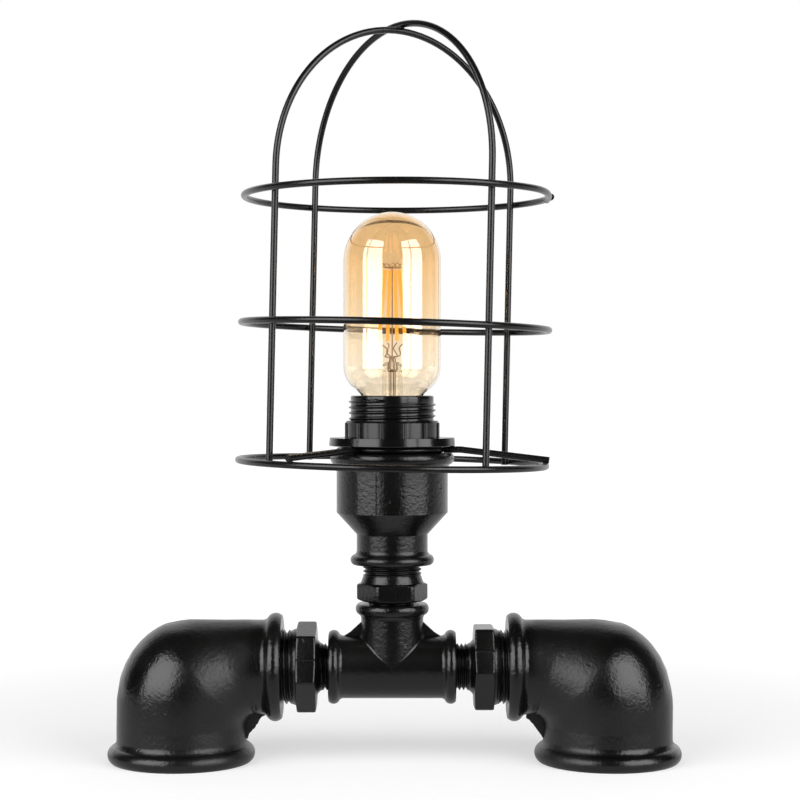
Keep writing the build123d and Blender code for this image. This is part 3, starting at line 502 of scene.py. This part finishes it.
def holder_skirt():
    """Threaded skirt. The thread is thin sharp ridges and fades out below a plain collar."""
    angles = hex_slices(0)
    behind = (angles - HOLDER_THREAD_END_ANGLE) % TURN - TURN  # how far before the thread's end
    rings = [(SKIRT_BORE, SKIRT_BASE)]
    lead_in, crest_share, groove_share = 2 * MM, 0.25, 0.35
    fade = 36  # the thread fades out over a turn divided by this
    top, edge, edge_steps = SKIRT_TOP - 1.6 * MM, 0.8 * MM, 4
    for height in np.linspace(SKIRT_BASE, top, int((top - SKIRT_BASE) / HOLDER_PITCH * THREAD_STEPS)):
        turns = (height - HOLDER_THREAD_END) / HOLDER_PITCH - behind / TURN
        ridge = np.round(turns)
        away = 2 * np.abs(turns - ridge)
        shape = 1 - smooth((away - crest_share / 2) / (1 - crest_share / 2 - groove_share))
        left = -(ridge + behind / TURN)  # turns of thread left before its end
        shape = shape * smooth(left * fade) * smooth((height - SKIRT_BASE) / lead_in)
        root = HOLDER_ROOT + (HOLDER_COLLAR - HOLDER_ROOT) * smooth(-left * fade)
        rings.append((root + (HOLDER_CREST - root) * shape, height))
    for centre, sense in ((HOLDER_COLLAR - edge, 1), (MOUTH_RADIUS + edge, -1)):
        for step in range(edge_steps + 1):
            turn = TURN / 4 / edge_steps * (step if sense > 0 else edge_steps - step)
            rings.append((centre + sense * edge * math.cos(turn), SKIRT_TOP - edge * (1 - math.sin(turn))))
    rings += [(MOUTH_RADIUS, SKIRT_TOP - SKIRT_LIP), (SKIRT_BORE, SKIRT_TOP - SKIRT_LIP_FOOT)]
    mesh = skin(rings, angles, lambda x, y, z: (x, y, z))
    return finished("holder_skirt_threads", mesh, "base", "holder_black", "holder_skirt")


def bulb_cap():
    """Pressed screw cap with the rounded thread of its size, drawn from one sheet."""
    angles = hex_slices(0)
    size, slices = (CAP_CREST, CAP_LEAD, CAP_CREST - CAP_ROOT), 90
    outer, inner = [(CAP_OPENING, CAP_FOOT), (CAP_CREST - CAP_EDGE, CAP_FOOT)], []
    for height in np.linspace(CAP_FOOT + CAP_EDGE, CAP_TOP, slices):
        radius = thread(size, height, angles, CAP_FOOT)
        plain_rim = smooth((height - CAP_TOP + 2 * CAP_RIM) / CAP_RIM)
        radius = radius + (CAP_CREST - radius) * plain_rim
        radius = np.minimum(radius, CAP_CREST - CAP_EDGE + (height - CAP_FOOT))
        outer.append((radius, height))
        inner.append((radius - CAP_WALL, height))
    inner = inner[::-1] + [(CAP_CREST - CAP_EDGE - CAP_WALL, CAP_FOOT + CAP_WALL),
                           (CAP_OPENING, CAP_FOOT + CAP_WALL)]
    mesh = skin(outer + inner, angles, lambda x, y, z: (x, y, z))
    return finished("bulb_cap_thread", mesh, "bulb", "cap_nickel", "bulb_cap")


side_nipple("nipple_left_threads", -1, small_shown=5.4, large_shown=6.6, corner_back=17.3,
            small_crest=1.58, large_crest=19.95)
side_nipple("nipple_right_threads", 1, small_shown=8.1, large_shown=6.1, corner_back=30.0,
            small_crest=0.88, large_crest=20.4)
riser_nipple()
holder_skirt()
bulb_cap()


# ---- what repeats or follows a path: weld beads, ribs and wires ---------------------------------------
def growth(name, **inputs):
    """A geometry tree with those inputs besides the geometry and the finish, and what they give."""
    group = bpy.data.node_groups.new(name, "GeometryNodeTree")
    for label, kind in {"Geometry": "Geometry", **inputs, "Finish": "Material"}.items():
        group.interface.new_socket(label, in_out="INPUT", socket_type="NodeSocket" + kind)
    group.interface.new_socket("Geometry", in_out="OUTPUT", socket_type="NodeSocketGeometry")
    graph = Graph(group)
    entry = group.nodes.new("NodeGroupInput")
    return graph, {socket.name: Value(graph, socket) for socket in entry.outputs if socket.name}


def grown(graph, geometry, finish):
    """Ends a geometry tree: real geometry, shaded smooth, in its finish."""
    solid = graph.node("GeometryNodeRealizeInstances", {}, {"Geometry": geometry})
    soft = graph.node("GeometryNodeSetShadeSmooth", {}, {"Geometry": solid})
    done = graph.node("GeometryNodeSetMaterial", {}, {"Geometry": soft, "Material": finish})
    leave = graph.tree.nodes.new("NodeGroupOutput")
    graph.tree.links.new(done.socket, leave.inputs[0])
    return graph.tree


def scatter_tree(name, shape, values):
    """Puts one small shape on every point, turned to the point's aim and scaled by its size."""
    graph, given = growth(name, Radius="Float", Length="Float", Unevenness="Float", Seed="Int")
    aim = graph.node("GeometryNodeInputNamedAttribute", {"data_type": "FLOAT_VECTOR"}, {"Name": "aim"})
    turn = graph.node("FunctionNodeAlignRotationToVector", {"axis": "Z"}, {"Vector": aim})
    spread = graph.node(
        "FunctionNodeRandomValue", {"data_type": "FLOAT"},
        {2: 1 - given["Unevenness"], 3: 1 + given["Unevenness"], "Seed": given["Seed"]}, output=1,
    )
    one = graph.node(shape, {}, {"Radius": given["Radius"], **values})
    tall = graph.node("ShaderNodeCombineXYZ", {}, {"X": 1.0, "Y": 1.0, "Z": given["Length"]})
    one = graph.node("GeometryNodeTransform", {}, {"Geometry": one, "Scale": tall})
    many = graph.node(
        "GeometryNodeInstanceOnPoints", {},
        {"Points": given["Geometry"], "Instance": one, "Rotation": turn, "Scale": spread},
    )
    return grown(graph, many, given["Finish"])


def wire_tree():
    """Draws a round wire along every edge path."""
    graph, given = growth("wire", Radius="Float", Sides="Int")
    path = graph.node("GeometryNodeMeshToCurve", {}, {"Mesh": given["Geometry"]})
    section = graph.node(
        "GeometryNodeCurvePrimitiveCircle", {"mode": "RADIUS"},
        {"Radius": given["Radius"], "Resolution": given["Sides"]},
    )
    wire = graph.node(
        "GeometryNodeCurveToMesh", {}, {"Curve": path, "Profile Curve": section, "Fill Caps": True}
    )
    return grown(graph, wire, given["Finish"])


def point_mesh(points):
    """Points with an aim each."""
    mesh = bpy.data.meshes.new("points")
    mesh.from_pydata([tuple(place) for place, _ in points], [], [])
    aims = mesh.attributes.new("aim", "FLOAT_VECTOR", "POINT")
    aims.data.foreach_set("vector", np.array([tuple(aim) for _, aim in points]).ravel())
    return mesh


def path_mesh(paths):
    """Open paths of points, joined by edges."""
    places, edges = [], []
    for path in paths:
        edges += [(len(places) + step, len(places) + step + 1) for step in range(len(path) - 1)]
        places += [tuple(place) for place in path]
    mesh = bpy.data.meshes.new("paths")
    mesh.from_pydata(places, edges, [])
    return mesh


def grow(name, tree, mesh, body, slot, replaces=None, **inputs):
    """A plain mesh of what the tree makes of a mesh."""
    holder = bpy.data.objects.new(name + "_seed", mesh)
    bpy.context.scene.collection.objects.link(holder)
    modifier = holder.modifiers.new("growth", "NODES")
    modifier.node_group = tree
    inputs["Finish"] = FINISHES[slot].material
    for item in tree.interface.items_tree:
        if item.in_out == "INPUT" and item.name in inputs:
            modifier[item.identifier] = inputs[item.name]
    bpy.context.view_layer.update()
    made = bpy.data.meshes.new_from_object(holder.evaluated_get(bpy.context.evaluated_depsgraph_get()))
    bpy.data.objects.remove(holder)
    made.materials.clear()
    made.set_sharp_from_angle(angle=SHARP)
    return finished(name, made, body, slot, replaces)


def cage_place(rise, out=None):
    """A place in the leaning cage, from its rise and its offset from the axis."""
    lean = Matrix.Rotation(CAGE_LEAN, 4, "Y")
    return Vector((0, 0, CAGE_BASE)) + lean @ (Vector((0, 0, rise)) + (out or Vector()))


def around(angle, radius):
    """A level offset at an angle in degrees from +X."""
    turn = math.radians(angle)
    return Vector((math.cos(turn), math.sin(turn), 0)) * radius


def weld_beads():
    """Resistance welds squeeze out a small bead wherever two wires of the cage cross."""
    points = []
    for rise, tilt in zip(RING_RISES, RING_TILTS):
        for angle in ARCH_ANGLES:
            out = around(angle, RING_RADIUS - WIRE)
            points.append((cage_place(rise - out.x * math.sin(tilt), out), out.normalized()))
    points.append((cage_place(CROWN_RISE), Vector((0, 0, 1))))
    for angle in SPOKE_ANGLES:
        out = around(-angle, RING_RADIUS)
        points.append((cage_place(WIRE, out), Vector((0, 0, 1))))
        points.append((around(-angle, HUB_RADIUS + WIRE) + Vector((0, 0, HUB_HEIGHT)), out.normalized()))
    tree = scatter_tree("weld_bead", "GeometryNodeMeshUVSphere", {"Segments": 32, "Rings": 16})
    return grow("weld_beads", tree, point_mesh(points), "cage", "wire_black",
                Radius=1.35 * MM, Length=0.42, Unevenness=0.12, Seed=4)


def bulb_wires():
    """Lead wires that curl up out of the glass stem to the filaments, and the star-shaped anchors that
    hold the filaments' upper ends."""
    leads, anchors = [], []
    steps, loops, coil = 44, 1.6, 1.35 * MM
    foot_turn, curl_turn = 6, 40  # degrees from a filament to its wire, and from each curl to the next
    sway, sway_turn = 0.7 * MM, 9  # how far a wire sways up and down, and over how many radians
    late = 0.22  # share of the climb that comes at the end
    for index in range(FILAMENTS):
        angle = FILAMENT_ANGLE + 360 / FILAMENTS * index
        low = around(angle, FILAMENT_LOW[0]) + Vector((0, 0, FILAMENT_LOW[1]))
        foot = around(angle + foot_turn, LEAD_CIRCLE)
        path = [foot + Vector((0, 0, LEAD_FOOT)), foot + Vector((0, 0, STEM_TOP))]
        for step in range(1, steps):
            share = step / steps
            curl = coil * smooth(share * 4) * smooth((1 - share) * 3)
            turn = angle + curl_turn * index + 360 * loops * share
            axis = foot.lerp(Vector((low.x, low.y, 0)), share ** 3)
            climb = STEM_TOP + (FILAMENT_LOW[1] - STEM_TOP) * ((1 - late) * share + late * share ** 5)
            height = climb + sway * math.sin(sway_turn * share)
            path.append(axis + around(turn, curl) + Vector((0, 0, height)))
        leads.append(path + [low])
        centre = around(angle, ANCHOR[0]) + Vector((0, 0, ANCHOR[1]))
        for ray in ((1, 1, 1), (-1, 1, 1), (1, -1, 1), (-1, -1, 1)):
            arm = around(angle, ray[0]) + around(angle + 90, ray[1]) + Vector((0, 0, ray[2]))
            arm *= ANCHOR_RAY
            anchors.append([centre - arm, centre, centre + arm])
    tree = wire_tree()
    grow("lead_wires_curled", tree, path_mesh(leads), "bulb", "bulb_wire", "lead_wires",
         Radius=0.27 * MM, Sides=10)
    grow("filament_anchors", tree, path_mesh(anchors), "bulb", "bulb_wire", Radius=0.12 * MM, Sides=8)


def ring_ribs():
    """The shade ring's grip ribs are half round."""
    middle = RING_RIB_BASE + RING_RIB_LENGTH / 2
    points = []
    for index in range(RING_RIBS):
        place = around(RING_RIB_START + 360 / RING_RIBS * index, RING_RIB_CENTRE)
        points.append((place + Vector((0, 0, middle)), Vector((0, 0, 1))))
    tree = scatter_tree("rib", "GeometryNodeMeshCylinder", {"Vertices": 32, "Depth": 1.0})
    return grow("shade_ring_ribs", tree, point_mesh(points), "ring", "holder_black",
                Radius=RING_RIB_RADIUS, Length=RING_RIB_LENGTH, Unevenness=0.0, Seed=1)


weld_beads()
bulb_wires()
ring_ribs()


# ---- casting flash ------------------------------------------------------------------------------------
def web_flash(name, side, seed):
    """The ragged fin along the free edge of an elbow's web, thick at the web and thin outside."""
    chance = np.random.default_rng(seed)
    steps, wander = 26, 0.25  # the lip wanders by that many millimetres
    root_half, lip_half = 1.1 * MM, 0.3 * MM  # half the fin's thickness
    share = np.linspace(0, 1, steps)
    edges = []
    for line in (np.array(FLASH_ROOTS[side]) * MM, np.array(FLASH_LIPS[side]) * MM):
        along = np.linspace(0, 1, len(line))
        edges.append(np.stack([np.interp(share, along, line[:, axis]) for axis in (0, 1)], axis=-1))
    root, lip = edges
    lip = lip + chance.uniform(-wander, wander, lip.shape) * MM
    points = []
    for inner, outer in zip(root, lip):
        for (x, z), half in ((inner, root_half), (outer, lip_half)):
            points += [(side * x, -half, z), (side * x, half, z)]
    faces = [(0, 1, 3, 2)]
    last = 4 * (steps - 1)
    for at in range(0, last, 4):
        for one, two in ((0, 1), (1, 3), (3, 2), (2, 0)):
            faces.append((at + one, at + two, at + 4 + two, at + 4 + one))
    faces.append((last, last + 1, last + 3, last + 2))
    return finished(name, closed_mesh(name, points, faces), "base", "cast_black")


web_flash("web_flash_left", -1, 3)
web_flash("web_flash_right", 1, 8)


# ---- studio -------------------------------------------------------------------------------------------
def area_light(name, place, aim, width, height, strength):
    """A soft box of that radiance, facing a point."""
    data = bpy.data.lights.new(name, "AREA")
    data.shape, data.size, data.size_y = "RECTANGLE", width, height
    data.energy = strength * math.pi * width * height
    lamp = bpy.data.objects.new(name, data)
    bpy.context.scene.collection.objects.link(lamp)
    lamp.location = place
    lamp.rotation_euler = (Vector(aim) - Vector(place)).to_track_quat("-Z", "Y").to_euler()
    return lamp


def studio():
    """A white sweep behind, dark in front, and at each side of the camera one tall soft box over the
    dimmer white of its stand."""
    distance, width, seam, top = 1.3, 1.2, 0.2, 1.45
    box_strength, stand_strength = 4.2, 3.0
    for side, azimuth in (("left", -48), ("right", 50)):
        turn = math.radians(azimuth)
        x, y = distance * math.sin(turn), -distance * math.cos(turn)
        for part, low, high, strength in (
            ("box", seam, top, box_strength), ("stand", 0.0, seam, stand_strength)
        ):
            middle = (low + high) / 2
            area_light(f"soft_{part}_{side}", (x, y, middle), (0, 0, middle), width, high - low, strength)
    world = bpy.data.worlds.new("studio")
    bpy.context.scene.world = world
    world.use_nodes = True
    world.node_tree.nodes.clear()
    sky = Graph(world.node_tree)
    white = (1, 1, 1, 1)
    way = sky.node("ShaderNodeTexCoord", output="Generated")
    back = sky.node("ShaderNodeSeparateXYZ", {}, {"Vector": way}, output="Y")
    shades = {
        "sweep": (back.ramp(0.42, 0.74, 0.012, 1.0), 1.0),
        "Diffuse": (white, 0.3),
        "Transmission": (back.ramp(-0.4, 0.0, 0.95, THROUGH_GLASS), 1.0),
        "Camera": (white, 1.0),
    }
    shown = {
        ray: sky.node("ShaderNodeBackground", {}, {"Color": colour, "Strength": strength})
        for ray, (colour, strength) in shades.items()
    }
    light = shown.pop("sweep")
    for ray, shade in shown.items():
        is_ray = sky.node("ShaderNodeLightPath", output=f"Is {ray} Ray")
        light = sky.node("ShaderNodeMixShader", {}, {0: is_ray, 1: light, 2: shade})
    sky.node("ShaderNodeOutputWorld", {}, {"Surface": light})


def floor():
    """A pale table top that runs off into white and keeps the lamp's shadow. Gloss shows it white
    behind the lamp and dark towards the camera."""
    mesh = bpy.data.meshes.new("floor")
    half, glow_strength = 12.0, 1.1
    corners = [(-half, -half, 0), (half, -half, 0), (half, half, 0), (-half, half, 0)]
    mesh.from_pydata(corners, [], [(0, 1, 2, 3)])
    table = bpy.data.objects.new("floor", mesh)
    bpy.context.scene.collection.objects.link(table)
    material = bpy.data.materials.new("floor_white")
    material.use_nodes = True
    material.node_tree.nodes.clear()
    top = Graph(material.node_tree)
    place = top.node("ShaderNodeTexCoord", output="Object")
    far = top.node("ShaderNodeVectorMath", {"operation": "LENGTH"}, {0: place}, output="Value")
    back = top.node("ShaderNodeSeparateXYZ", {}, {"Vector": place}, output="Y")
    seen = top.node("ShaderNodeLightPath", output="Is Camera Ray")
    through = top.node("ShaderNodeLightPath", output="Is Transmission Ray")
    gloss = top.node("ShaderNodeLightPath", output="Is Glossy Ray")
    paint = top.node("ShaderNodeBsdfDiffuse", {}, {"Color": (0.96, 0.96, 0.96, 1)})
    glow = top.node("ShaderNodeEmission", {}, {"Strength": glow_strength})
    reflected = back.ramp(-0.32, -0.02, 0.02, 0.55) + back.ramp(0.1, 0.6, 0.0, 0.45)
    shine = top.node("ShaderNodeEmission", {}, {"Color": reflected, "Strength": 1.0})
    mix = top.node(
        "ShaderNodeMixShader", {},
        {0: far.ramp(0.16, 0.55, 0.45, 1.0) * seen + through, 1: paint, 2: glow},
    )
    mix = top.node("ShaderNodeMixShader", {}, {0: gloss, 1: mix, 2: shine})
    top.node("ShaderNodeOutputMaterial", {}, {"Surface": mix})
    mesh.materials.append(material)


def camera():
    """Level with the holder's mouth, straight in front."""
    data = bpy.data.cameras.new("camera")
    data.lens, data.sensor_width, data.shift_y = CAMERA_LENS, 36.0, CAMERA_SHIFT
    eye = bpy.data.objects.new("camera", data)
    bpy.context.scene.collection.objects.link(eye)
    eye.location = (CAMERA_SIDE, -CAMERA_DISTANCE, CAMERA_HEIGHT)
    eye.rotation_euler = (math.pi / 2, 0, 0)
    bpy.context.scene.camera = eye


studio()
floor()
camera()
bpy.context.scene.view_settings.view_transform = "Standard"
